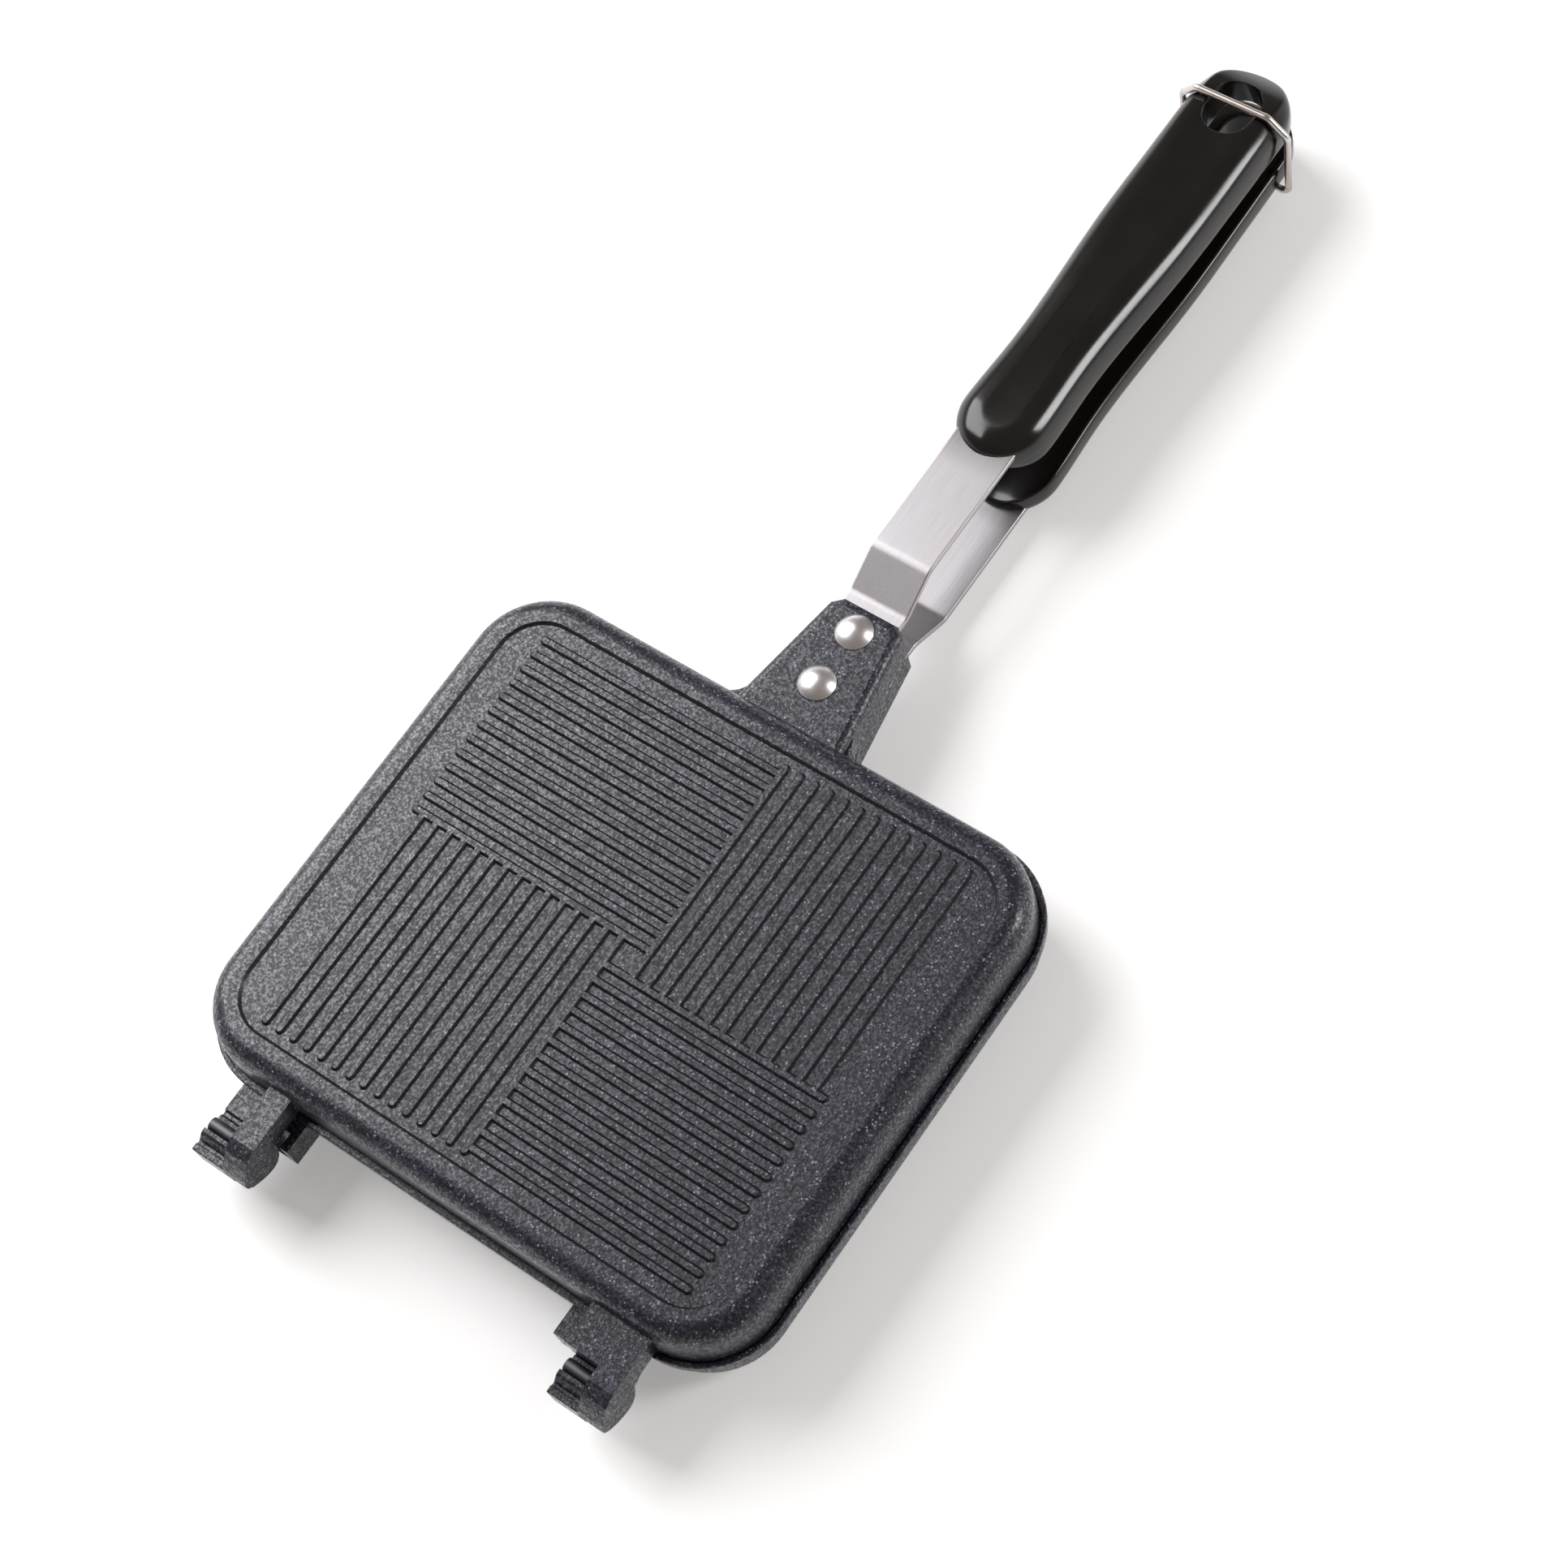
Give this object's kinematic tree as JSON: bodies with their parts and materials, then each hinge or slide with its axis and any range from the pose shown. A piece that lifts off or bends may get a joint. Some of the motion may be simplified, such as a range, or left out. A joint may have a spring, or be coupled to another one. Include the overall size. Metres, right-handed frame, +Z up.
{
  "type": "hinged sandwich pie iron",
  "caption": "Square double pie iron with pinwheel ribs, hook hinges, twin strap handles with black grips and a wire clip that holds them closed.",
  "frame": {"origin": "centre of the lower tray's outer ring, on the plane of that ring", "axes": "+X along the hinge pins, +Y from the hinge to the handle, +Z up through both trays"},
  "size_m": [0.1692, 0.385, 0.0344],
  "materials": {
    "cast": "cast aluminium with a dark speckled non-stick coat, satin",
    "strap_steel": "stainless strip, lightly brushed",
    "grip_black": "black phenolic, glossy",
    "rivet_metal": "polished dome",
    "pin_steel": "plain drawn pin",
    "wire_steel": "bright drawn wire"
  },
  "bodies": {
    "lower_half": {"lower_plate": "cast", "lower_strap": "strap_steel", "lower_grip": "grip_black", "lower_rivet_near": "rivet_metal", "lower_rivet_far": "rivet_metal"},
    "upper_half": {"upper_plate": "cast", "upper_strap": "strap_steel", "upper_grip": "grip_black", "upper_rivet_near": "rivet_metal", "upper_rivet_far": "rivet_metal", "hinge_pin_left": "pin_steel", "hinge_pin_right": "pin_steel"},
    "wire_clip": {"wire_clip": "wire_steel"}
  },
  "joints": [
    {"name": "lid_hinge", "type": "hinge", "parent": "lower_half", "child": "upper_half", "pos_m": [0, -0.0858, 0.0145], "axis": [1, 0, 0], "range_deg": [0, 100]},
    {"name": "clip_swing", "type": "hinge", "parent": "lower_half", "child": "wire_clip", "pos_m": [0, 0.2739, 0.003], "axis": [1, 0, 0], "range_deg": [-95, 0]}
  ]
}
